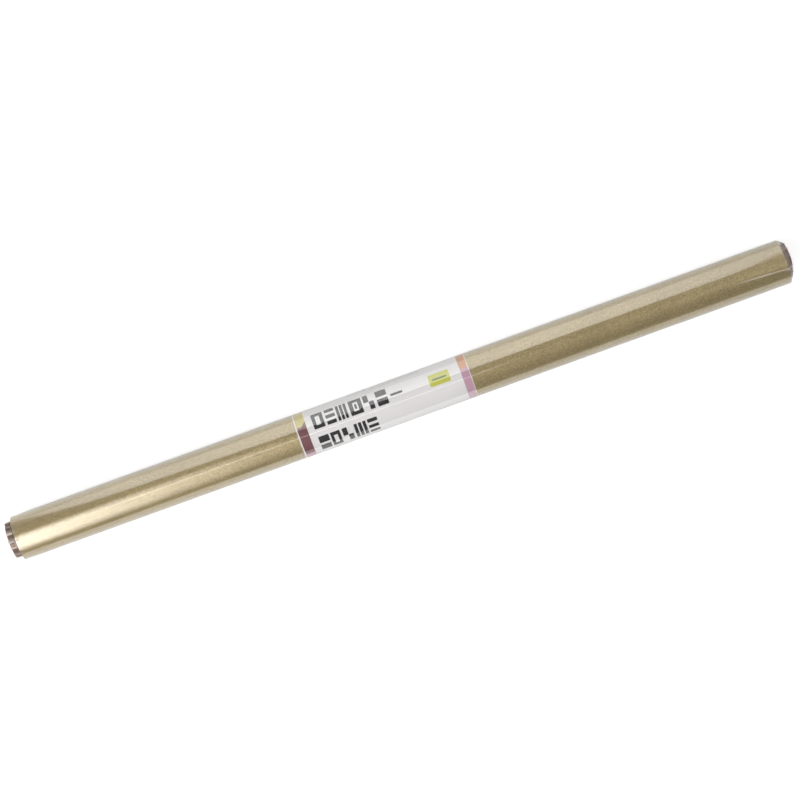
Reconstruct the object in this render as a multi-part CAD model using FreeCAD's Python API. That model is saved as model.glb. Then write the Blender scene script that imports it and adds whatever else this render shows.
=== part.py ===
"""A roll of gold tissue wrapping paper, as it is sold: five sheets wound one over another on a board core,
a printed paper band round the middle, and a clear shrink-film sleeve over everything.

Millimetres. +X runs along the roll and +Z is up. The origin is on the surface that the roll lies on,
under the middle of the core. Every sub-part is round about one axis, which is parallel to X.
"""

import FreeCAD, Part
import math
import os

# Tissue sheets: each is wound up along its longer side, so its shorter side is the roll's length.
sheet_count = 5
sheet_width = 500.0
sheet_run = 700.0
tissue_caliper = 0.04
air_between_turns = 0.019
gap_between_sheets = 0.02

# Board core: a plain cut tube that stands out of the paper at both ends, further at the left.
core_bore_radius = 9.5
core_wall = 1.3
left_stand_out = 4.5
right_stand_out = 3.6
core_to_paper = 0.1

# Label band: paper, wound once round the roll and closed by a glued lap under the roll. The lap's direction is in
# degrees about +X from straight up.
label_length = 112.0
label_centre = -10.0
label_caliper = 0.12
label_to_paper = 0.05
label_lap = 8.0
label_lap_direction = 200.0

# Shrink film: it lies on the label, turns in over the paper's end and shrinks onto the core's end, where it
# leaves a round hole a little wider than the bore. The turn-in is steep at the left and slopes at the right.
film_caliper = 0.08
film_to_label = 0.05
film_to_core = 0.1
film_end_gap = 0.1
film_hole_margin = 0.4
left_shoulder_run = 0.5
right_shoulder_run = 3.3
tear_lip = 0.3
tear_gap = 0.05

# Lengths and radii that follow. The middle of the core is at the origin.
half_core = (sheet_width + left_stand_out + right_stand_out) / 2
paper_left = left_stand_out - half_core
paper_right = paper_left + sheet_width
core_radius = core_bore_radius + core_wall
turn_pitch = tissue_caliper + air_between_turns


def sheet_radii():
    """(inner, outer) radius of each wound sheet, outermost first. A sheet's end area is its run times the pitch."""
    radii = []
    inner = core_radius + core_to_paper
    for _ in range(sheet_count):
        outer = math.sqrt(inner**2 + sheet_run * turn_pitch / math.pi)
        radii.append((inner, outer))
        inner = outer + gap_between_sheets
    return radii[::-1]


paper_radius = sheet_radii()[0][1]
label_inner_radius = paper_radius + label_to_paper
lap_radius = label_inner_radius + 2 * label_caliper
film_inner_radius = lap_radius + film_to_label
film_radius = film_inner_radius + film_caliper
ring_radius = core_radius + film_to_core + film_caliper
film_hole_radius = core_bore_radius + film_hole_margin
axis_height = film_radius


def tube(inner, outer, start, end):
    """A plain tube about the X axis, from start to end."""
    along = FreeCAD.Vector(1, 0, 0)
    foot = FreeCAD.Vector(start, 0, 0)
    body = Part.makeCylinder(outer, end - start, foot, along)
    return body.cut(Part.makeCylinder(inner, end - start, foot, along))


def inside_of(outline, thickness):
    """The line that runs a thickness inside an outline of (x, radius) points, with mitred corners."""
    normals = []
    for (x0, r0), (x1, r1) in zip(outline, outline[1:]):
        run = math.hypot(x1 - x0, r1 - r0)
        normals.append(((r1 - r0) / run, -(x1 - x0) / run))
    moved = []
    for i, (x, r) in enumerate(outline):
        before = normals[max(i - 1, 0)]
        after = normals[min(i, len(normals) - 1)]
        stretch = thickness / (1 + before[0] * after[0] + before[1] * after[1])
        moved.append((x + stretch * (before[0] + after[0]), r + stretch * (before[1] + after[1])))
    return moved


def turned_film(outline):
    """Film of even thickness whose outside follows the outline, from left to right, turned about the X axis."""
    corners = outline + inside_of(outline, film_caliper)[::-1]
    points = [FreeCAD.Vector(x, 0, r) for x, r in corners]
    section = Part.Face(Part.makePolygon(points + points[:1]))
    return section.revolve(FreeCAD.Vector(0, 0, 0), FreeCAD.Vector(1, 0, 0), 360)


def end_outline(paper_end, shoulder_run):
    """Outside of one shrunk end: the rim, the shoulder, the ring on the core, and the edge of the hole. Distances
    are from the middle, and paper_end is the distance to the paper's end."""
    rim = paper_end + film_end_gap + film_caliper
    face = half_core + film_end_gap + film_caliper
    return [
        (rim, film_radius),
        (rim + shoulder_run, ring_radius),
        (face, ring_radius),
        (face, film_hole_radius),
    ]


def film_sleeve():
    """The length of film over the paper, with its left end shrunk onto the core. It is open at the right."""
    left_end = [(-x, r) for x, r in end_outline(-paper_left, left_shoulder_run)[::-1]]
    return turned_film(left_end + [(paper_right - tear_lip, film_radius)])


def film_end_right():
    """The right end of the film, from the line round the rim where it tears off."""
    tear_edge = (paper_right - tear_lip + tear_gap, film_radius)
    return turned_film([tear_edge] + end_outline(paper_right, right_shoulder_run))


def core_tube():
    return tube(core_bore_radius, core_radius, -half_core, half_core)


def label_band():
    """One turn of paper, with the lap as a second thickness over part of it."""
    start = label_centre - label_length / 2
    end = label_centre + label_length / 2
    turn = tube(label_inner_radius, label_inner_radius + label_caliper, start, end)
    lap_inner_radius = label_inner_radius + label_caliper
    lap_angle = math.degrees(label_lap / lap_inner_radius)
    along = FreeCAD.Vector(1, 0, 0)
    foot = FreeCAD.Vector(start, 0, 0)
    wedge = Part.makeCylinder(lap_radius, label_length, foot, along, lap_angle)
    wedge.rotate(foot, along, label_lap_direction - lap_angle / 2)  # a part cylinder starts straight up
    lap = wedge.cut(Part.makeCylinder(lap_inner_radius, label_length, foot, along))
    return turn.fuse(lap).removeSplitter()


def write_part(name, shape):
    """Lifts the shape so that the roll lies on the surface, and writes it under its node's name."""
    shape.translate(FreeCAD.Vector(0, 0, axis_height))
    if not shape.isValid() or len(shape.Solids) != 1:
        raise ValueError(name + " is not one valid solid")
    shape.exportStep("parts/" + name + ".step")
    print(f"{name}: {shape.Volume / 1000:.2f} cm3")


os.makedirs("parts", exist_ok=True)
for number, (inner, outer) in enumerate(sheet_radii(), start=1):
    write_part(f"tissue_sheet_{number}", tube(inner, outer, paper_left, paper_right))
write_part("core_tube", core_tube())
write_part("label_band", label_band())
write_part("film_sleeve", film_sleeve())
write_part("film_end_right", film_end_right())
print(f"paper radius {paper_radius:.3f}, film radius {film_radius:.3f}, ring radius {ring_radius:.3f}")
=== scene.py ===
"""A roll of gold tissue wrapping paper in clear shrink film: the looks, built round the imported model.

Metres. +X runs along the roll, +Z is up, and a reader of the label stands on the -Y side. Places round the
roll are angles about +X from straight up, so they grow towards the reader.
"""

import math

import bpy
import numpy as np
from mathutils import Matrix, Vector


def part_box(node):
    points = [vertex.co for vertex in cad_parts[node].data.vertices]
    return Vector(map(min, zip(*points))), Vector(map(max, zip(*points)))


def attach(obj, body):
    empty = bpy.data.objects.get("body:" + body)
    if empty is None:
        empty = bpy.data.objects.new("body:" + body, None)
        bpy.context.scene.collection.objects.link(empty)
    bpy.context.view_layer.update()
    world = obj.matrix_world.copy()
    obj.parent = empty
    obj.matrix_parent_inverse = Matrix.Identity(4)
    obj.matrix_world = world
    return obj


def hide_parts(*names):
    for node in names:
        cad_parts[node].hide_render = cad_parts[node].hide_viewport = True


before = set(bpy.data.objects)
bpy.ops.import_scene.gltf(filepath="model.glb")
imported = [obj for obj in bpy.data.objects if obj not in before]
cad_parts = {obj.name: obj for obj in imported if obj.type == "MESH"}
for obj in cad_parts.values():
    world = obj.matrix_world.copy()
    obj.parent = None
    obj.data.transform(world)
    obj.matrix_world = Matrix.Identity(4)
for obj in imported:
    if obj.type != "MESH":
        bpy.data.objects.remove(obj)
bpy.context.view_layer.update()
mm = 0.001


# ---- Core tube -----------------------------------------------------------------------------------------
# A parallel tube of grey board, which holds the roll open. Three plies of recycled board are wound in a
# helix, glued, and cut with a knife, a little out of square at the right. The cut ends show the plies, and
# their edges are worn.

core_low, core_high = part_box("core_tube")
film_low, film_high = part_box("film_sleeve")
axis_height = (core_low.z + core_high.z) / 2
core_radius = (core_high.z - core_low.z) / 2
core_wall = 1.3 * mm
core_plies = 3
ply_groove = 0.12 * mm
core_edge = 0.18 * mm
board_seam_lead = 68 * mm
out_of_square = 1.8 * mm
paper_low, paper_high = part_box("tissue_sheet_1")


def about_axis(along, radius, angle):
    """Points at a distance along the roll, a radius from its axis, and an angle about +X from straight
    up: the radius times the angle's sine towards the reader, and times its cosine above the axis."""
    along, radius, angle = np.broadcast_arrays(along, radius, angle)
    return np.stack([along, -radius * np.sin(angle), axis_height + radius * np.cos(angle)], axis=-1)


def out_of_square_cut(along, angle):
    """Draws the right end back on the reader's side, by a power of the sine of the angle, and evenly less
    towards the paper's end."""
    share = np.clip((along - paper_high.x) / (core_high.x - paper_high.x), 0, 1.1)
    return along - out_of_square * share * np.clip(np.sin(angle), 0, 1) ** 1.2


def leaf_faces(rows, columns, closed):
    """Quads of a thin leaf: a grid of outer points, the same grid of inner points after it, and the rims
    between. Rows run along the roll and columns round it; closed joins the last column to the first.
    Returns the quads and, for each, 0 on the outside, 1 on the inside and 2 on a rim."""
    index = np.arange(rows * columns).reshape(rows, columns)
    if closed:
        index = np.hstack([index, index[:, :1]])
    under = rows * columns
    a, b, c, d = index[:-1, :-1], index[:-1, 1:], index[1:, 1:], index[1:, :-1]
    outside = np.stack([a, b, c, d], axis=-1).reshape(-1, 4)
    inside = outside[:, ::-1] + under
    rims = [
        np.stack([b[0], a[0], a[0] + under, b[0] + under], axis=-1),
        np.stack([d[-1], c[-1], c[-1] + under, d[-1] + under], axis=-1),
    ]
    if not closed:
        rims.append(np.stack([a[:, 0], d[:, 0], d[:, 0] + under, a[:, 0] + under], axis=-1))
        rims.append(np.stack([c[:, -1], b[:, -1], b[:, -1] + under, c[:, -1] + under], axis=-1))
    rims = np.concatenate(rims)
    side = np.repeat([0, 1, 2], [len(outside), len(inside), len(rims)])
    return np.concatenate([outside, inside, rims]), side


def leaf(name, outer, inner, materials, closed=False, sharp=35):
    """A thin closed piece from two grids of points. materials are those of its outside, inside and
    rims."""
    rows, columns = outer.shape[:2]
    quads, side = leaf_faces(rows, columns, closed)
    mesh = bpy.data.meshes.new(name)
    mesh.from_pydata(np.concatenate([outer.reshape(-1, 3), inner.reshape(-1, 3)]), [], quads)
    for material in materials:
        mesh.materials.append(material)
    mesh.polygons.foreach_set("material_index", side.astype(np.int32))
    mesh.polygons.foreach_set("use_smooth", np.ones(len(quads), bool))
    mesh.set_sharp_from_angle(angle=math.radians(sharp))
    mesh.update()
    piece = bpy.data.objects.new(name, mesh)
    bpy.context.scene.collection.objects.link(piece)
    return piece


def node(tree, kind, inputs=None, **settings):
    """A shader node. inputs maps a socket's name or number to a value or to the socket that feeds it."""
    made = tree.nodes.new(kind)
    for name, value in settings.items():
        setattr(made, name, value)
    for socket, value in (inputs or {}).items():
        if isinstance(value, bpy.types.NodeSocket):
            tree.links.new(value, made.inputs[socket])
        else:
            made.inputs[socket].default_value = value
    return made


def sum_of(tree, operation, first, second=0.0, third=0.0, clamp=False):
    """The output of a Math node."""
    terms = {0: first, 1: second, 2: third}
    return node(tree, "ShaderNodeMath", terms, operation=operation, use_clamp=clamp).outputs[0]


def mixed(tree, factor, first, second, blend="MIX"):
    """The colour output of a Mix node."""
    mix = node(tree, "ShaderNodeMix", data_type="RGBA", blend_type=blend)
    for socket, value in ((mix.inputs[0], factor), (mix.inputs[6], first), (mix.inputs[7], second)):
        if isinstance(value, bpy.types.NodeSocket):
            tree.links.new(value, socket)
        else:
            socket.default_value = value
    return mix.outputs[2]


def fibre_group():
    """Paper and board fibre. Mottle is a cloudy value round 0.5, Fleck marks scattered dark fibres, and
    Height is their relief. Clouds are Cloud Scale per metre, and fibres are drawn out along the roll."""
    tree = bpy.data.node_groups.new("paper_fibre", "ShaderNodeTree")
    for name, value in (("Cloud Scale", 120.0), ("Fibre Scale", 1500.0)):
        tree.interface.new_socket(name, in_out="INPUT", socket_type="NodeSocketFloat").default_value = value
    for name in ("Mottle", "Fleck", "Height"):
        tree.interface.new_socket(name, in_out="OUTPUT", socket_type="NodeSocketFloat")
    given, result = tree.nodes.new("NodeGroupInput"), tree.nodes.new("NodeGroupOutput")
    place = tree.nodes.new("ShaderNodeTexCoord").outputs["Object"]
    drawn = node(tree, "ShaderNodeMapping", {"Vector": place, "Scale": (0.25, 1.0, 1.0)}).outputs[0]
    cloud = node(tree, "ShaderNodeTexNoise", {"Vector": place, "Scale": given.outputs[0], "Detail": 3.0})
    fibre = node(tree, "ShaderNodeTexNoise", {"Vector": drawn, "Scale": given.outputs[1], "Detail": 4.0})
    fleck = node(
        tree, "ShaderNodeMapRange", {"Value": fibre.outputs[0], "From Min": 0.64, "From Max": 0.72}
    ).outputs[0]
    cloudy = sum_of(tree, "MULTIPLY", cloud.outputs[0], 0.6)
    mottle = sum_of(tree, "MULTIPLY_ADD", fibre.outputs[0], 0.4, cloudy)
    tree.links.new(mottle, result.inputs[0])
    tree.links.new(fleck, result.inputs[1])
    tree.links.new(sum_of(tree, "ADD", fibre.outputs[0], cloud.outputs[0]), result.inputs[2])
    return tree


paper_fibre = fibre_group()


def fibres(tree, cloud_scale, fibre_scale):
    """The fibre group, placed in a material."""
    placed = node(tree, "ShaderNodeGroup", node_tree=paper_fibre)
    placed.inputs["Cloud Scale"].default_value = cloud_scale
    placed.inputs["Fibre Scale"].default_value = fibre_scale
    return placed


def new_material(name):
    """A material with a Principled shader. Returns the material, its node tree and the shader."""
    material = bpy.data.materials.new(name)
    material.use_nodes = True
    tree = material.node_tree
    return material, tree, tree.nodes["Principled BSDF"]


def grey_board(name, shade, seams):
    """Recycled grey board with flecks. Where seams is true, the edge of the wound ply runs round it in a
    helix."""
    material, tree, shader = new_material(name)
    grain = fibres(tree, 90.0, 900.0)
    dark, light = [value * 0.78 for value in shade], [value * 1.25 for value in shade]
    colour = mixed(tree, grain.outputs["Mottle"], (*dark, 1), (*light, 1))
    fleck = sum_of(tree, "MULTIPLY", grain.outputs["Fleck"], 0.5)
    colour = mixed(tree, fleck, colour, (0.07, 0.055, 0.045, 1))
    height = grain.outputs["Height"]
    if seams:
        place = tree.nodes.new("ShaderNodeTexCoord").outputs["Object"]
        apart = node(tree, "ShaderNodeSeparateXYZ", {0: place}).outputs
        above = sum_of(tree, "SUBTRACT", apart[2], axis_height)
        turned = sum_of(tree, "ARCTAN2", sum_of(tree, "MULTIPLY", apart[1], -1.0), above)
        leads = sum_of(tree, "DIVIDE", apart[0], board_seam_lead)
        helix = sum_of(tree, "MULTIPLY_ADD", turned, 1 / math.tau, leads)
        off = sum_of(tree, "ABSOLUTE", sum_of(tree, "SUBTRACT", sum_of(tree, "FRACT", helix), 0.5))
        seam = node(
            tree, "ShaderNodeMapRange",
            {"Value": off, "From Min": 0.0, "From Max": 0.006, "To Min": 1.0, "To Max": 0.0},
        ).outputs[0]
        colour = mixed(tree, sum_of(tree, "MULTIPLY", seam, 0.55), colour, (0.05, 0.04, 0.035, 1))
        height = sum_of(tree, "SUBTRACT", height, sum_of(tree, "MULTIPLY", seam, 1.6))
    bump = node(tree, "ShaderNodeBump", {"Strength": 0.5, "Distance": 0.06 * mm, "Height": height})
    tree.links.new(colour, shader.inputs["Base Color"])
    tree.links.new(bump.outputs[0], shader.inputs["Normal"])
    shader.inputs["Roughness"].default_value = 0.82
    shader.inputs["Specular IOR Level"].default_value = 0.3
    return material


def core_profile():
    """The core's outside and inside, as the places along it from left to right and the radii there. Their
    edges are worn to a quarter of a circle."""
    edge_steps = np.linspace(0, math.pi / 2, 5)
    worn = core_edge * (1 - np.sin(edge_steps))
    set_back = core_edge * (1 - np.cos(edge_steps))
    body = np.linspace(core_low.x + core_edge, core_high.x - core_edge, 60)[1:-1]
    along = np.concatenate([core_low.x + set_back, body, core_high.x - set_back[::-1]])
    inward = np.concatenate([worn, np.zeros(len(body)), worn[::-1]])
    return along, core_radius - inward, core_radius - core_wall + inward


def core_ends():
    """Rings across each cut end, from the outer edge to the inner, as shares of the way and the depth of
    the groove there. The depth is a power of a cosine, greatest where two plies meet, so there are two
    grooves."""
    across = np.linspace(0, 1, 25)[1:-1]
    between = np.abs(np.cos(math.pi * core_plies * across)) ** 12 * (across > 0.1) * (across < 0.9)
    return across, ply_groove * between


def core_piece():
    """One closed turned surface: outside, right end, inside and left end in a ring of lines, so it has no
    seam."""
    columns = 120
    along, outside, inside = core_profile()
    across, groove = core_ends()
    left, right = along[0], along[-1]
    outer_edge, inner_edge = outside[0], inside[0]
    end_radius = outer_edge + (inner_edge - outer_edge) * across
    ring_along = np.concatenate([along, right - groove, along[::-1], left + groove])
    ring_radius = np.concatenate([outside, end_radius, inside[::-1], end_radius[::-1]])
    angle = np.linspace(0, math.tau, columns, endpoint=False)
    square_along, angle = np.broadcast_arrays(ring_along[:, None], angle[None, :])
    points = about_axis(out_of_square_cut(square_along, angle), ring_radius[:, None], angle)
    rows = len(ring_along)
    index = np.arange(rows * columns).reshape(rows, columns)
    following = np.roll(index, -1, axis=0)
    quads = np.stack(
        [index, np.roll(index, -1, axis=1), np.roll(following, -1, axis=1), following], axis=-1
    ).reshape(-1, 4)
    cut_rows = np.repeat([0, 1, 0, 1], [len(along), len(across), len(along), len(across)])
    mesh = bpy.data.meshes.new("core_board")
    mesh.from_pydata(points.reshape(-1, 3), [], quads)
    mesh.materials.append(grey_board("grey_board", (0.235, 0.158, 0.118), True))
    mesh.materials.append(grey_board("cut_board", (0.30, 0.225, 0.175), False))
    mesh.polygons.foreach_set("material_index", np.repeat(cut_rows, columns).astype(np.int32))
    mesh.polygons.foreach_set("use_smooth", np.ones(len(quads), bool))
    mesh.set_sharp_from_angle(angle=math.radians(50))
    piece = bpy.data.objects.new("core_board", mesh)
    bpy.context.scene.collection.objects.link(piece)
    return piece


core_board = core_piece()
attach(core_board, "core")
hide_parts("core_tube")


# ---- Tissue sheets -------------------------------------------------------------------------------------
# Five sheets of light tissue, 500 x 700 mm, printed with a metallic gold on the face and left plain on
# the back. Each is wound face out over the one before, so every turn's cut edge shows at the roll's ends.

sheet_count = 5
sheet_run = 700 * mm
tissue_caliper = 0.034 * mm
edge_set_back = 0.30 * mm
core_fit = 0.1 * mm
sheet_fit = 0.02 * mm
rng = np.random.default_rng(20)


def gold_face():
    """Metallic gold ink on tissue: fine grains that catch the light one by one, over faint lengthwise
    streaks."""
    material, tree, shader = new_material("gold_face")
    place = tree.nodes.new("ShaderNodeTexCoord").outputs["Object"]
    grains = node(tree, "ShaderNodeTexNoise", {"Vector": place, "Scale": 1500.0, "Detail": 2.0}).outputs[0]
    flakes = node(tree, "ShaderNodeTexVoronoi", {"Vector": place, "Scale": 2600.0}).outputs["Color"]
    flake = node(tree, "ShaderNodeSeparateXYZ", {0: flakes}).outputs[0]
    drawn = node(tree, "ShaderNodeMapping", {"Vector": place, "Scale": (0.04, 1.0, 1.0)}).outputs[0]
    streaks = node(tree, "ShaderNodeTexNoise", {"Vector": drawn, "Scale": 700.0, "Detail": 2.0}).outputs[0]
    clouds = node(tree, "ShaderNodeTexNoise", {"Vector": place, "Scale": 45.0, "Detail": 2.0}).outputs[0]
    value = sum_of(tree, "MULTIPLY_ADD", grains, 0.74, sum_of(tree, "MULTIPLY", flake, 0.12))
    value = sum_of(tree, "MULTIPLY_ADD", streaks, 0.10, value)
    value = sum_of(tree, "MULTIPLY_ADD", clouds, 0.08, value)
    tone = node(tree, "ShaderNodeMapRange", {"Value": value, "From Min": 0.36, "From Max": 0.68}).outputs[0]
    colour = mixed(tree, tone, (0.35, 0.256, 0.102, 1), (0.715, 0.573, 0.290, 1))
    rough = node(tree, "ShaderNodeMapRange", {"Value": tone, "To Min": 0.45, "To Max": 0.36}).outputs[0]
    relief = sum_of(tree, "MULTIPLY_ADD", grains, 0.7, sum_of(tree, "MULTIPLY", flake, 0.3))
    bump = node(tree, "ShaderNodeBump", {"Strength": 0.35, "Distance": 0.02 * mm, "Height": relief})
    tree.links.new(colour, shader.inputs["Base Color"])
    tree.links.new(rough, shader.inputs["Roughness"])
    tree.links.new(bump.outputs[0], shader.inputs["Normal"])
    shader.inputs["Metallic"].default_value = 0.6
    shader.inputs["Coat Weight"].default_value = 1.0
    shader.inputs["Coat Roughness"].default_value = 0.34
    shader.inputs["Coat IOR"].default_value = 1.7
    return material


def tissue_back(name, shade):
    """The plain side of the tissue, and its cut edges: a dull straw colour where the gold shows
    through."""
    material, tree, shader = new_material(name)
    grain = fibres(tree, 60.0, 2200.0)
    dark, light = [value * 0.85 for value in shade], [value * 1.12 for value in shade]
    colour = mixed(tree, grain.outputs["Mottle"], (*dark, 1), (*light, 1))
    bump = node(
        tree, "ShaderNodeBump", {"Strength": 0.3, "Distance": 0.02 * mm, "Height": grain.outputs["Height"]}
    )
    tree.links.new(colour, shader.inputs["Base Color"])
    tree.links.new(bump.outputs[0], shader.inputs["Normal"])
    shader.inputs["Roughness"].default_value = 0.7
    return material


tissue_finish = [
    gold_face(),
    tissue_back("tissue_back", (0.62, 0.55, 0.38)),
    tissue_back("tissue_edge", (0.50, 0.42, 0.27)),
]


def smooth_wander(angle, size, waves):
    """A smooth random walk of the given size along an angle: a sum of sines with random places and
    rates."""
    places = rng.uniform(0, math.tau, waves)
    rates = rng.uniform(0.15, 1.4, waves)
    return size * np.mean(np.sin(angle[:, None] * rates + places), axis=1) * math.sqrt(waves)


def wound_sheet(number, per_turn, rows, free_edge):
    """A sheet wound in a spiral: the radius grows evenly with the angle, and the run along the spiral is
    the sheet's length. free_edge is the angle at which the outer end lies. Each turn's cut edges wander a
    little. Along the roll, the rows lie closer together near both ends, by half a cosine."""
    low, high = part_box(f"tissue_sheet_{number}")
    outer_radius = (high.z - low.z) / 2
    core_side = wound_radii[number + 1] if number < sheet_count else core_radius + core_fit
    inner_radius = core_side + sheet_fit
    turns = sheet_run / (math.pi * (inner_radius + outer_radius))
    columns = int(turns * per_turn)
    angle = np.linspace(-math.tau * turns, 0, columns)
    share = 1 + angle / (math.tau * turns)
    radius = inner_radius + (outer_radius - tissue_caliper - inner_radius) * share
    slack = edge_set_back * 0.5
    left = low.x + slack + np.clip(smooth_wander(angle, slack * 0.6, 5), -slack, slack)
    right = high.x - slack - np.clip(smooth_wander(angle, slack * 0.6, 5), -slack, slack)
    across = (1 - np.cos(np.linspace(0, math.pi, rows))) / 2
    across = 0.5 * across + 0.5 * np.linspace(0, 1, rows)
    along = left + (right - left) * across[:, None]
    inner = about_axis(along, radius, angle + free_edge)
    outer = about_axis(along, radius + tissue_caliper, angle + free_edge)
    return leaf(f"gold_tissue_{number}", outer, inner, tissue_finish)


wound_radii = {
    number: (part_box(f"tissue_sheet_{number}")[1].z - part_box(f"tissue_sheet_{number}")[0].z) / 2
    for number in range(1, sheet_count + 1)
}
for number in range(sheet_count, 0, -1):
    outermost = number == 1
    piece = wound_sheet(
        number,
        per_turn=120 if outermost else 90,
        rows=40 if outermost else 12,
        free_edge=math.radians(205 + 40 * (number - 1)),
    )
    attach(piece, "paper_roll")
    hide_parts(f"tissue_sheet_{number}")


# ---- Label band ----------------------------------------------------------------------------------------
# A strip of coated white paper, once round the roll, with its end glued down over its beginning underneath.
# It is printed with plain dark marks, a colour patch, fine broken lines, and colour fields at both edges.

label_low, label_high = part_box("label_band")
label_centre = (label_low.x + label_high.x) / 2
label_caliper = 0.11 * mm
label_fit = 0.05 * mm
label_face_radius = wound_radii[1] + label_fit + label_caliper
label_lap = math.radians(200)
label_lap_run = 8 * mm
label_lap_ramp = math.radians(7)
label_glue = 0.006 * mm


def label_points():
    """The band as a strip a little longer than one turn. Its radius is even, then climbs by one caliper
    and the glue in a smooth step just before it reaches its own beginning, and stays there for the length
    of the lap."""
    lap = label_lap_run / label_face_radius
    angle = np.linspace(label_lap - math.tau - lap / 2, label_lap + lap / 2, 240)
    climb = np.clip((angle - (label_lap - lap / 2 - label_lap_ramp)) / label_lap_ramp, 0, 1)
    rise = (label_caliper + label_glue) * climb * climb * (3 - 2 * climb)
    along = np.linspace(label_low.x, label_high.x, 30)[:, None]
    face = about_axis(along, label_face_radius + rise, angle)
    back = about_axis(along, label_face_radius - label_caliper + rise, angle)
    return along, angle, face, back


def printed_block_group():
    """One printed block as a mask: 1 inside a box with rounded corners, by the distance to it, and 0
    outside. Lean shifts it along the roll as it goes round. All sizes are in millimetres on the print
    map."""
    tree = bpy.data.node_groups.new("printed_block", "ShaderNodeTree")
    tree.interface.new_socket("Print Map", in_out="INPUT", socket_type="NodeSocketVector")
    for name in ("Along", "Around", "Half Length", "Half Height", "Rounding", "Lean", "Soft"):
        tree.interface.new_socket(name, in_out="INPUT", socket_type="NodeSocketFloat")
    tree.interface.new_socket("Mask", in_out="OUTPUT", socket_type="NodeSocketFloat")
    given, result = tree.nodes.new("NodeGroupInput"), tree.nodes.new("NodeGroupOutput")
    value = {socket.name: socket for socket in given.outputs}
    apart = node(tree, "ShaderNodeSeparateXYZ", {0: value["Print Map"]}).outputs
    up = sum_of(tree, "SUBTRACT", apart[1], value["Around"])
    beside = sum_of(tree, "SUBTRACT", apart[0], value["Along"])
    leaned = sum_of(tree, "MULTIPLY", up, value["Lean"])
    beside = sum_of(tree, "ABSOLUTE", sum_of(tree, "SUBTRACT", beside, leaned))
    up = sum_of(tree, "ABSOLUTE", up)
    beyond = []
    for distance, half in ((beside, value["Half Length"]), (up, value["Half Height"])):
        inner = sum_of(tree, "SUBTRACT", half, value["Rounding"])
        beyond.append(sum_of(tree, "MAXIMUM", sum_of(tree, "SUBTRACT", distance, inner), 0.0))
    far = sum_of(tree, "MULTIPLY_ADD", beyond[0], beyond[0], sum_of(tree, "MULTIPLY", beyond[1], beyond[1]))
    edge = sum_of(tree, "SUBTRACT", value["Rounding"], sum_of(tree, "SQRT", far))
    mask = sum_of(tree, "MULTIPLY_ADD", sum_of(tree, "DIVIDE", edge, value["Soft"]), 1.0, 0.5, clamp=True)
    tree.links.new(mask, result.inputs[0])
    return tree


printed_block = printed_block_group()
ink_black = (0.010, 0.009, 0.012)
ink_grey = (0.20, 0.19, 0.20)
ink_dark_red = (0.155, 0.006, 0.014)
ink_yellow = (0.66, 0.56, 0.14)
ink_orange = (0.74, 0.33, 0.12)
ink_pink = (0.60, 0.34, 0.45)
ink_pale_pink = (0.68, 0.43, 0.53)
ink_dark_green = (0.06, 0.15, 0.04)
ink_lime = (0.66, 0.66, 0.10)

# Each edge strip has its middle and half its width along the roll, and a row of fields: the middle and
# half the height round the band, and the ink. All are in millimetres.
edge_strips = [
    (-52.2, 3.0, [(-30.0, 9.0, ink_pink), (-13.4, 8.4, ink_yellow), (4.5, 9.6, ink_dark_red),
                  (18.9, 4.8, ink_pink), (31.0, 7.4, ink_orange)]),
    (53.1, 2.5, [(-29.0, 8.6, ink_dark_red), (-13.0, 7.4, ink_orange), (2.3, 7.9, ink_pink),
                 (15.2, 5.0, ink_pale_pink), (27.0, 6.8, ink_yellow)]),
]

# A mark is a row of strokes in shares of its own length and height: left, right, top, bottom.
frame_mark = [(0.0, 1.0, 0.0, 0.21), (0.0, 1.0, 0.79, 1.0), (0.0, 0.30, 0.0, 1.0), (0.70, 1.0, 0.0, 1.0)]
posts_mark = [(0.0, 0.26, 0.0, 1.0), (0.37, 0.63, 0.0, 1.0), (0.74, 1.0, 0.0, 1.0)]
rungs_mark = [(0.0, 1.0, 0.0, 0.22), (0.0, 1.0, 0.39, 0.61), (0.0, 1.0, 0.78, 1.0)]
quarters_mark = [(0.0, 0.50, 0.0, 0.50), (0.50, 1.0, 0.50, 1.0)]
target_mark = frame_mark + [(0.42, 0.58, 0.34, 0.66)]
slab_mark = [(0.0, 1.0, 0.0, 0.42), (0.0, 1.0, 0.58, 1.0)]
# A row of marks has its top and bottom round the band, and each mark its left end and its length.
mark_rows = [
    (-11.0, -0.7, [(-44.9, 7.1, frame_mark), (-36.3, 6.0, rungs_mark), (-29.1, 6.6, posts_mark),
                   (-20.8, 8.1, target_mark), (-11.5, 6.2, quarters_mark), (-3.4, 6.9, slab_mark)]),
    (4.3, 15.2, [(-44.7, 6.5, slab_mark), (-37.1, 6.1, frame_mark), (-29.6, 6.2, quarters_mark),
                 (-21.9, 7.6, posts_mark), (-13.2, 6.3, rungs_mark)]),
]


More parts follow.
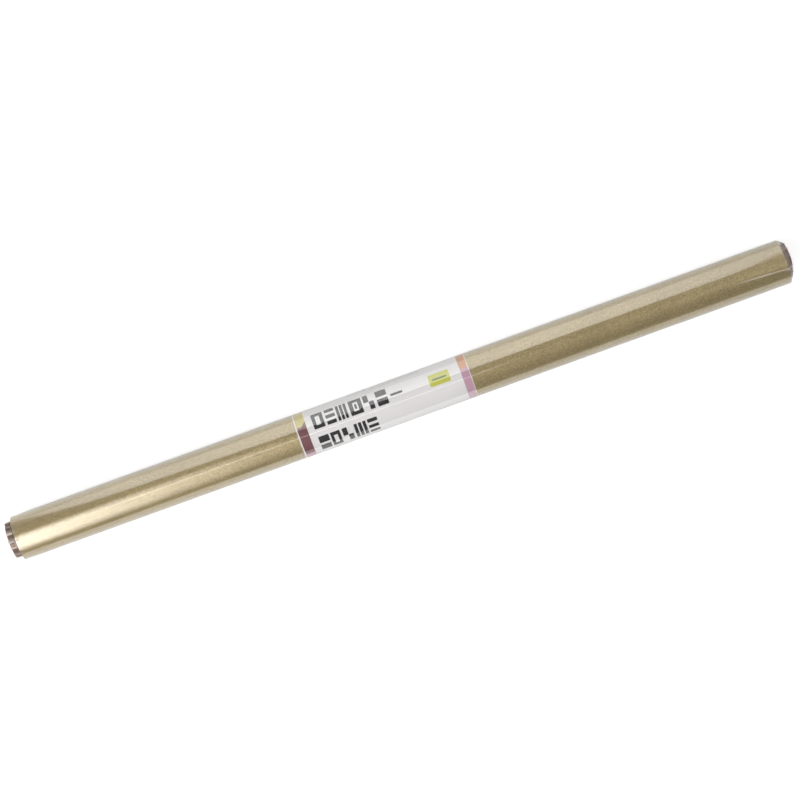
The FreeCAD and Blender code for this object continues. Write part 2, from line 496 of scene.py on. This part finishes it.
def printed_face():
    """Coated white paper with the print. The map gives millimetres along the roll from the band's middle,
    and round it from straight up, towards the reader."""
    material, tree, shader = new_material("printed_face")
    print_map = node(tree, "ShaderNodeUVMap", uv_map="print").outputs[0]
    grain = fibres(tree, 70.0, 1800.0)
    colour = mixed(tree, grain.outputs["Mottle"], (0.86, 0.838, 0.848, 1), (0.93, 0.908, 0.918, 1))

    def block(along, around, half_length, half_height, rounding=0.05, lean=0.0, soft=0.12):
        placed = node(tree, "ShaderNodeGroup", {}, node_tree=printed_block)
        tree.links.new(print_map, placed.inputs["Print Map"])
        sizes = (along, around, half_length, half_height, rounding, lean, soft)
        for socket, size in zip(list(placed.inputs)[1:], sizes):
            socket.default_value = size
        return placed.outputs[0]

    def lay(under, ink, mask):
        return mixed(tree, mask, under, (*ink, 1))

    for middle, half_width, fields in edge_strips:
        for around, half_height, ink in fields:
            colour = lay(colour, ink, block(middle, around, half_width, half_height))
    # the dark red field of the left strip ends in a slant
    slant = sum_of(tree, "MULTIPLY", block(-49.6, -4.6, 3.0, 3.4, lean=-0.95), block(-52.2, -6.0, 3.0, 2.0))
    colour = lay(colour, ink_dark_red, slant)

    ink = 0.0
    for top, bottom, marks in mark_rows:
        for left, length, strokes in marks:
            for from_left, to_right, from_top, to_bottom in strokes:
                mask = block(
                    left + length * (from_left + to_right) / 2,
                    top + (bottom - top) * (from_top + to_bottom) / 2,
                    length * (to_right - from_left) / 2,
                    (bottom - top) * (to_bottom - from_top) / 2,
                    0.25,
                )
                ink = sum_of(tree, "MAXIMUM", mask, ink)
    ink = sum_of(tree, "MAXIMUM", block(9.3, -5.0, 3.8, 0.75, 0.2), ink)
    colour = lay(colour, ink_black, ink)

    # a plain colour patch with one bar across it
    colour = lay(colour, ink_lime, block(37.0, -4.8, 6.6, 4.0, 1.0, soft=0.3))
    colour = lay(colour, ink_dark_green, block(37.0, -4.8, 4.6, 0.55, 0.3, soft=0.3))

    # fine print as broken lines, too small to be read
    dashes = node(tree, "ShaderNodeTexNoise", {"Vector": print_map, "Scale": 1.7, "Detail": 1.0}).outputs[0]
    dash = node(
        tree, "ShaderNodeMapRange", {"Value": dashes, "From Min": 0.44, "From Max": 0.48}
    ).outputs[0]
    for along, around, half_length in ((10.2, -20.0, 16.0), (10.2, -17.6, 16.0), (10.2, -15.6, 16.0),
                                       (-14.0, -18.8, 6.0), (-14.0, -17.0, 6.0)):
        mask = block(along, around, half_length, 0.5, soft=0.3)
        colour = lay(colour, ink_grey, sum_of(tree, "MULTIPLY", mask, sum_of(tree, "MULTIPLY", dash, 0.7)))

    bump = node(
        tree, "ShaderNodeBump", {"Strength": 0.2, "Distance": 0.02 * mm, "Height": grain.outputs["Height"]}
    )
    rough = node(
        tree, "ShaderNodeMapRange", {"Value": grain.outputs["Mottle"], "To Min": 0.42, "To Max": 0.56}
    ).outputs[0]
    tree.links.new(colour, shader.inputs["Base Color"])
    tree.links.new(rough, shader.inputs["Roughness"])
    tree.links.new(bump.outputs[0], shader.inputs["Normal"])
    return material


def label_piece():
    """The band with its print map, in millimetres, on every corner of every face."""
    along, angle, face, back = label_points()
    plain = tissue_back("label_back", (0.74, 0.73, 0.72))
    piece = leaf("label_paper", face, back, [printed_face(), plain, plain])
    flat = np.broadcast_arrays((along - label_centre) / mm, angle * label_face_radius / mm)
    flat = np.stack(flat, axis=-1).reshape(-1, 2)
    corners = np.zeros(len(piece.data.loops), np.int32)
    piece.data.loops.foreach_get("vertex_index", corners)
    print_map = piece.data.uv_layers.new(name="print")
    print_map.data.foreach_set("uv", np.concatenate([flat, flat])[corners].astype(np.float32).ravel())
    return piece


label_paper = label_piece()
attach(label_paper, "label")
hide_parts("label_band")


# ---- Shrink film ---------------------------------------------------------------------------------------
# A tube of clear film, shrunk on with hot air. It lies smooth over the label, turns in over the ends of the
# paper and gathers into pleats on the core's ends, with a round hole left open. The right end is its own
# piece, because it tears off round the rim when the roll is opened.

film_caliper = 0.06 * mm
film_radius = (film_high.z - film_low.z) / 2
end_low, end_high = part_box("film_end_right")
ring_radius = core_radius + 0.16 * mm
hole_radius = core_radius - 1.0 * mm
left_rim = paper_low.x - 0.18 * mm
right_rim = end_low.x + 0.43 * mm
film_columns = 420
pleat_count = 14
left_pleat_seed = 5
right_pleat_seed = 11


def soft_outline(corners, rounding, spacing):
    """Points (along, radius) on the line through the corners. Each inner corner becomes a quadratic curve
    that starts and ends a rounding away from it, or half its shorter leg; straight stretches are divided
    evenly."""
    corners = np.array(corners, float)
    legs = np.linalg.norm(np.diff(corners, axis=0), axis=1)
    points, here = [], corners[0]
    for i in range(1, len(corners) - 1):
        reach = min(rounding[i - 1], legs[i - 1] / 2, legs[i] / 2)
        enter = corners[i] + (corners[i - 1] - corners[i]) * reach / legs[i - 1]
        leave = corners[i] + (corners[i + 1] - corners[i]) * reach / legs[i]
        steps = max(int(np.linalg.norm(enter - here) / spacing[i - 1]), 1)
        points.append(here + (enter - here) * np.linspace(0, 1, steps, endpoint=False)[:, None])
        bend = np.linspace(0, 1, 6, endpoint=False)[:, None]
        points.append((1 - bend) ** 2 * enter + 2 * bend * (1 - bend) * corners[i] + bend**2 * leave)
        here = leave
    steps = max(int(np.linalg.norm(corners[-1] - here) / spacing[-1]), 1)
    points.append(here + (corners[-1] - here) * np.linspace(0, 1, steps + 1)[:, None])
    return np.concatenate(points)


def pleats(angle, deep, seed):
    """How far the film stands up where it is drawn together, from 0 to about 1, round the end. Each pleat is
    a
    fold that was laid to one side: it rises slowly to its crest and drops away steeply, by two exponentials
    of the angle from the crest. The crests lean a little to one side as the film gathers more."""
    draw = np.random.default_rng(seed)
    crests = (np.arange(pleat_count) + draw.uniform(-0.38, 0.38, pleat_count)) * math.tau / pleat_count
    heights = draw.uniform(0.3, 1.0, pleat_count)
    before = draw.uniform(0.07, 0.17, pleat_count)
    after = draw.uniform(0.02, 0.045, pleat_count)
    leans = draw.uniform(-0.16, 0.16, pleat_count)
    stand = np.zeros(np.broadcast(angle, deep).shape)
    for crest, height, slow, steep, lean in zip(crests, heights, before, after, leans):
        off = (angle - crest - lean * deep + math.pi) % math.tau - math.pi
        stand = np.maximum(stand, height * np.exp(-np.abs(off) / np.where(off < 0, slow, steep)))
    return stand


def along_normal(outline):
    """Unit normals of an outline that runs to the right, pointing away from the axis side."""
    run = np.gradient(outline, axis=0)
    run /= np.linalg.norm(run, axis=1)[:, None]
    return np.stack([-run[:, 1], run[:, 0]], axis=1)


def shrunk_film(outline, pleat_height):
    """Outer points of film that follows an outline from left to right, how cloudy it is there, and how far
    it is drawn in. The cloudiness is the pleat crests times how far the film is drawn in, or, just past the
    rims, times how much it gathers, plus the right rim's crease. That is partly layered film turning cloudy
    and partly a painted highlight, cream-white on the crests and the crease. Pleats stand out along the
    outline's normal as far as the film had to gather, which is how much narrower it is than the tube, and
    die away exponentially past the rim. The rest has faint long waves."""
    angle = np.linspace(0, math.tau, film_columns, endpoint=False)[None, :]
    along, radius = outline[:, :1], outline[:, 1:]
    normal = along_normal(outline)
    deep = np.clip((1 - radius / film_radius) / (1 - ring_radius / film_radius), 0, 1.3)
    at_left = pleats(angle, deep, left_pleat_seed)
    crests = np.where(along < 0, at_left, pleats(angle, deep, right_pleat_seed))
    past_rim = np.minimum(np.abs(along - left_rim), np.abs(along - right_rim)) * (deep < 0.01)
    gather = np.maximum(deep**0.7, 0.30 * np.exp(-past_rim / (1.2 * mm)))
    waves = 0.010 * mm * np.sin(along / (19 * mm) + 3 * angle) * np.cos(along / (31 * mm) - 2 * angle)
    crease = rim_crease(along, angle)
    stand = pleat_height * gather * crests + waves * (deep < 0.02) + 0.14 * mm * crease
    # cloudiness: the pleat crests times drawing in, plus the rim crease. It is partly cloudy layered film
    # and partly a painted cream-white highlight on the crests and the crease
    milky_and_painted_highlight = np.clip(np.maximum(deep, 2.4 * gather * (deep < 0.01)), 0, 1) * crests + 0.62 * crease
    along = out_of_square_cut(along + stand * normal[:, :1], angle)
    drawn_in = np.clip(deep, 0, 1) + 0 * angle
    return about_axis(along, radius + stand * normal[:, 1:], angle), milky_and_painted_highlight, drawn_in


def thickened(outer):
    """The inner points of film: a caliper inside the outer ones, along the normal that the cross product
    of the grid's two directions gives."""
    round_it = np.roll(outer, -1, axis=1) - np.roll(outer, 1, axis=1)
    lengthwise = np.gradient(outer, axis=0)
    normal = np.cross(round_it, lengthwise)
    return outer - film_caliper * normal / np.linalg.norm(normal, axis=2)[:, :, None]


def rim_crease(along, angle):
    """How far a low ridge stands up near the right rim, from 0 to 1, where the film folded as it shrank.
    It slants round the roll as it nears the rim, and dies away to the left. Across, it is a Gaussian
    curve."""
    start, end = 214 * mm, 250 * mm
    share = np.clip((along - start) / (end - start), 0, 1)
    middle = math.radians(13) + math.radians(8) * share**1.3
    height = np.sin(math.pi * np.clip(share, 0, 0.82) / 1.1) ** 1.2
    return height * np.exp(-(((angle - middle) * film_radius / (0.40 * mm)) ** 2))


def clear_film():
    """Clear glossy film: it lets light straight through, and mirrors more of it at a slant. The share
    that it mirrors is Schlick's curve over the facing angle. Where it is drawn in over the ends it is
    thicker, and its fine creases break up the gloss. A cloudy cream layer goes over it where layers of
    film lie on each other. The same layer is laid on the pleat crests and the right rim's crease as
    a painted highlight."""
    material, tree, milky_and_painted_highlight = new_material("clear_film")
    facing = node(tree, "ShaderNodeLayerWeight", {"Blend": 0.5}).outputs["Facing"]
    share = sum_of(tree, "MULTIPLY_ADD", sum_of(tree, "POWER", facing, 5.0), 0.90, 0.09)
    place = tree.nodes.new("ShaderNodeTexCoord").outputs["Object"]
    drawn = node(tree, "ShaderNodeMapping", {"Vector": place, "Scale": (0.12, 1.0, 1.0)}).outputs[0]
    waves = node(tree, "ShaderNodeTexNoise", {"Vector": drawn, "Scale": 160.0, "Detail": 2.0}).outputs[0]
    bump = node(
        tree, "ShaderNodeBump", {"Strength": 0.25, "Distance": 0.03 * mm, "Height": waves}
    ).outputs[0]
    smear = node(tree, "ShaderNodeTexNoise", {"Vector": place, "Scale": 60.0, "Detail": 3.0}).outputs[0]
    rough = node(tree, "ShaderNodeMapRange", {"Value": smear, "To Min": 0.05, "To Max": 0.11}).outputs[0]
    drawn_in = node(tree, "ShaderNodeAttribute", attribute_name="drawn_in").outputs["Fac"]
    thickness_tint = mixed(tree, drawn_in, (0.985, 0.985, 0.98, 1), (0.93, 0.90, 0.875, 1))
    broken_gloss = mixed(tree, drawn_in, (1, 1, 1, 1), (0.44, 0.37, 0.33, 1))
    clear = node(tree, "ShaderNodeBsdfTransparent", {"Color": thickness_tint}).outputs[0]
    gloss = node(
        tree, "ShaderNodeBsdfGlossy", {"Color": broken_gloss, "Roughness": rough, "Normal": bump}
    ).outputs[0]
    single = node(tree, "ShaderNodeMixShader", {0: share, 1: clear, 2: gloss}).outputs[0]
    # the cloudy cream layer: partly layered film, partly a painted highlight on the pleat crests and the
    # right rim's crease
    layer_haze_and_painted_highlight = node(tree, "ShaderNodeAttribute", attribute_name="layer_haze_and_painted_highlight").outputs["Fac"]
    haze_and_painted_highlight = sum_of(tree, "MULTIPLY_ADD", sum_of(tree, "POWER", layer_haze_and_painted_highlight, 1.3), 0.70, 0.0, clamp=True)
    tint = mixed(tree, smear, (0.82, 0.74, 0.66, 1), (0.96, 0.91, 0.85, 1))
    dull = node(tree, "ShaderNodeMapRange", {"Value": smear, "To Min": 0.22, "To Max": 0.42}).outputs[0]
    tree.links.new(tint, milky_and_painted_highlight.inputs["Base Color"])
    tree.links.new(dull, milky_and_painted_highlight.inputs["Roughness"])
    film = node(tree, "ShaderNodeMixShader", {0: haze_and_painted_highlight, 1: single, 2: milky_and_painted_highlight.outputs[0]}).outputs[0]
    tree.links.new(film, tree.nodes["Material Output"].inputs[0])
    return material


film_material = clear_film()


def film_piece(name, outline, pleat_height):
    """A closed leaf of film over an outline. Its cloudiness, which is partly a painted highlight, and how
    far it is drawn in are kept on its points.
    """
    outer, *kept = shrunk_film(outline, pleat_height)
    piece = leaf(name, outer, thickened(outer), [film_material] * 3, closed=True, sharp=60)
    for mask, values in zip(("layer_haze_and_painted_highlight", "drawn_in"), kept):
        attribute = piece.data.attributes.new(mask, "FLOAT", "POINT")
        attribute.data.foreach_set("value", np.concatenate([values, values]).astype(np.float32).ravel())
    return piece


sleeve = film_piece(
    "clear_sleeve",
    soft_outline(
        [(film_low.x, hole_radius), (film_low.x, ring_radius),
         (left_rim - 0.5 * mm, ring_radius), (left_rim, film_radius),
         (left_rim + 5 * mm, film_radius), (film_high.x - 40 * mm, film_radius),
         (film_high.x - 5 * mm, film_radius), (film_high.x, film_radius)],
        rounding=[0.45 * mm, 0.5 * mm, 0.75 * mm, 1 * mm, 1 * mm, 1 * mm],
        spacing=[0.16 * mm, 0.4 * mm, 0.25 * mm, 0.6 * mm, 16 * mm, 2.0 * mm, 0.6 * mm],
    ),
    pleat_height=0.75 * mm,
)
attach(sleeve, "sleeve")
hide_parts("film_sleeve")

film_end = film_piece(
    "clear_end",
    soft_outline(
        [(end_low.x, film_radius), (right_rim, film_radius), (end_high.x - 0.5 * mm, ring_radius),
         (end_high.x, ring_radius - 0.2 * mm), (end_high.x, hole_radius)],
        rounding=[0.6 * mm, 0.4 * mm, 0.2 * mm],
        spacing=[0.2 * mm, 0.15 * mm, 0.1 * mm, 0.1 * mm],
    ),
    pleat_height=0.65 * mm,
)
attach(film_end, "film_end")
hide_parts("film_end_right")


# ---- Table, light and camera ---------------------------------------------------------------------------
# The roll lies on a white table, seen from straight above and turned so that its right end is higher. A tall
# panel stands behind it, and lamps hang at the left, above and at the right. The table and the room are
# brighter for camera rays alone, so that the background is white and the roll's reflections stay dim.

def white_table():
    """A white table top with the faintest mottle. It glows a little, and for camera rays alone it glows
    more, so that the background is white while the film and the gold reflect a dimmer table. No real
    table does that."""
    material, tree, shader = new_material("white_table")
    place = tree.nodes.new("ShaderNodeTexCoord").outputs["Object"]
    cloud = node(tree, "ShaderNodeTexNoise", {"Vector": place, "Scale": 3.0, "Detail": 2.0}).outputs[0]
    colour = mixed(tree, cloud, (0.62, 0.62, 0.62, 1), (0.66, 0.66, 0.66, 1))
    tree.links.new(colour, shader.inputs["Base Color"])
    shader.inputs["Roughness"].default_value = 0.9
    shader.inputs["Specular IOR Level"].default_value = 0.1
    shader.inputs["Emission Color"].default_value = (1, 1, 1, 1)
    seen = tree.nodes.new("ShaderNodeLightPath").outputs["Is Camera Ray"]
    glow = sum_of(tree, "MULTIPLY_ADD", seen, table_glow_seen, table_glow)
    tree.links.new(glow, shader.inputs["Emission Strength"])
    half = 3.0
    mesh = bpy.data.meshes.new("table")
    corners = [(-half, -half), (half, -half), (half, half), (-half, half)]
    mesh.from_pydata([(x, y, -0.1 * mm) for x, y in corners], [], [(0, 1, 2, 3)])
    mesh.materials.append(material)
    table = bpy.data.objects.new("table", mesh)
    bpy.context.scene.collection.objects.link(table)
    return table


def soft_lamp(name, width, height, radiance, turn, place):
    """A rectangle of light with the given radiance. Its power is four times its area times the
    radiance."""
    data = bpy.data.lights.new(name, "AREA")
    data.shape = "RECTANGLE"
    data.size, data.size_y = width, height
    data.energy = 4 * radiance * width * height
    lamp = bpy.data.objects.new(name, data)
    lamp.rotation_euler = turn
    lamp.location = place
    lamp.visible_camera = False
    bpy.context.scene.collection.objects.link(lamp)
    return lamp


def grade_lamp(lamp, right_end, full_from):
    """Lets a lamp fade to its right end and to its upper and lower edges, so that no edge of it shows in
    the film. The fade is a product of smooth ramps over the lamp's own width and height, each from 0 to
    1."""
    lamp.data.use_nodes = True
    tree = lamp.data.node_tree
    spot = node(tree, "ShaderNodeNewGeometry").outputs["Parametric"]
    apart = node(tree, "ShaderNodeSeparateXYZ", {0: spot}).outputs
    fade = 1.0
    for axis, empty, full in ((0, right_end, full_from), (1, 0.97, 0.61), (1, 0.12, 0.46)):
        ramp = node(
            tree, "ShaderNodeMapRange", {"Value": apart[axis], "From Min": empty, "From Max": full},
            interpolation_type="SMOOTHSTEP",
        ).outputs[0]
        fade = sum_of(tree, "MULTIPLY", ramp, fade)
    tree.links.new(fade, tree.nodes["Emission"].inputs["Strength"])


def cut_corner(lamp, along, down):
    """Leaves the upper left corner of a panel dark. along and down are the cut's reach in shares of the
    panel. The cut is the curve where the two remaining shares, each to the power of 1.3, add up to 1."""
    lamp.data.use_nodes = True
    tree = lamp.data.node_tree
    spot = node(tree, "ShaderNodeNewGeometry").outputs["Parametric"]
    apart = node(tree, "ShaderNodeSeparateXYZ", {0: spot}).outputs
    shares = []
    for axis, reach in ((0, along), (1, down)):
        left_over = sum_of(tree, "SUBTRACT", 1.0, sum_of(tree, "DIVIDE", apart[axis], reach), clamp=True)
        shares.append(sum_of(tree, "POWER", left_over, 1.3))
    cut_off = sum_of(tree, "ADD", *shares)
    inside = node(
        tree, "ShaderNodeMapRange", {"Value": cut_off, "From Min": 1.06, "From Max": 0.94}
    ).outputs[0]
    tree.links.new(inside, tree.nodes["Emission"].inputs["Strength"])


table_glow = 0.14
table_glow_seen = 0.50
table = white_table()

panel_lean = math.radians(3)
back_panel = soft_lamp(
    "back_panel", 0.765, 1.65, 0.90, (-math.pi / 2, panel_lean, 0), (0.0495, 0.8, 0.775)
)
cut_corner(back_panel, 0.29, 0.60)
lamp_tilt = math.radians(30)
lamp_reach = 1.4
lamp_height = axis_height + lamp_reach * math.cos(lamp_tilt)
left_lamp = soft_lamp(
    "left_lamp", 2.0, 3.6, 3.75, (lamp_tilt, 0, 0), (-1.1, -lamp_reach * math.sin(lamp_tilt), lamp_height)
)
grade_lamp(left_lamp, right_end=1.0, full_from=0.66)
soft_lamp("strip_lamp", 0.50, 0.10, 0.9, (math.radians(8), 0, 0), (-0.12, -0.20, 1.45))
soft_lamp("right_lamp", 1.2, 1.6, 1.35, (0, math.radians(40), 0), (1.15, -0.1, 1.35))

world = bpy.data.worlds.new("room")
bpy.context.scene.world = world
world.use_nodes = True
room_seen = world.node_tree.nodes.new("ShaderNodeLightPath").outputs["Is Camera Ray"]
room_shade = mixed(world.node_tree, room_seen, (0.10, 0.10, 0.10, 1), (0.86, 0.86, 0.86, 1))
world.node_tree.links.new(room_shade, world.node_tree.nodes["Background"].inputs["Color"])
bpy.context.scene.view_settings.view_transform = "Standard"

camera_distance = 1.476
view_width = 492.2 * mm
roll_turn = math.radians(19.87)
camera_data = bpy.data.cameras.new("camera")
camera_data.sensor_width = 36.0
camera_data.lens = camera_data.sensor_width * camera_distance / view_width
camera = bpy.data.objects.new("camera", camera_data)
camera.location = (0.05 * mm, 0.15 * mm, axis_height + camera_distance)
camera.rotation_euler = (0, 0, -roll_turn)
bpy.context.scene.collection.objects.link(camera)
bpy.context.scene.camera = camera

bpy.context.view_layer.update()
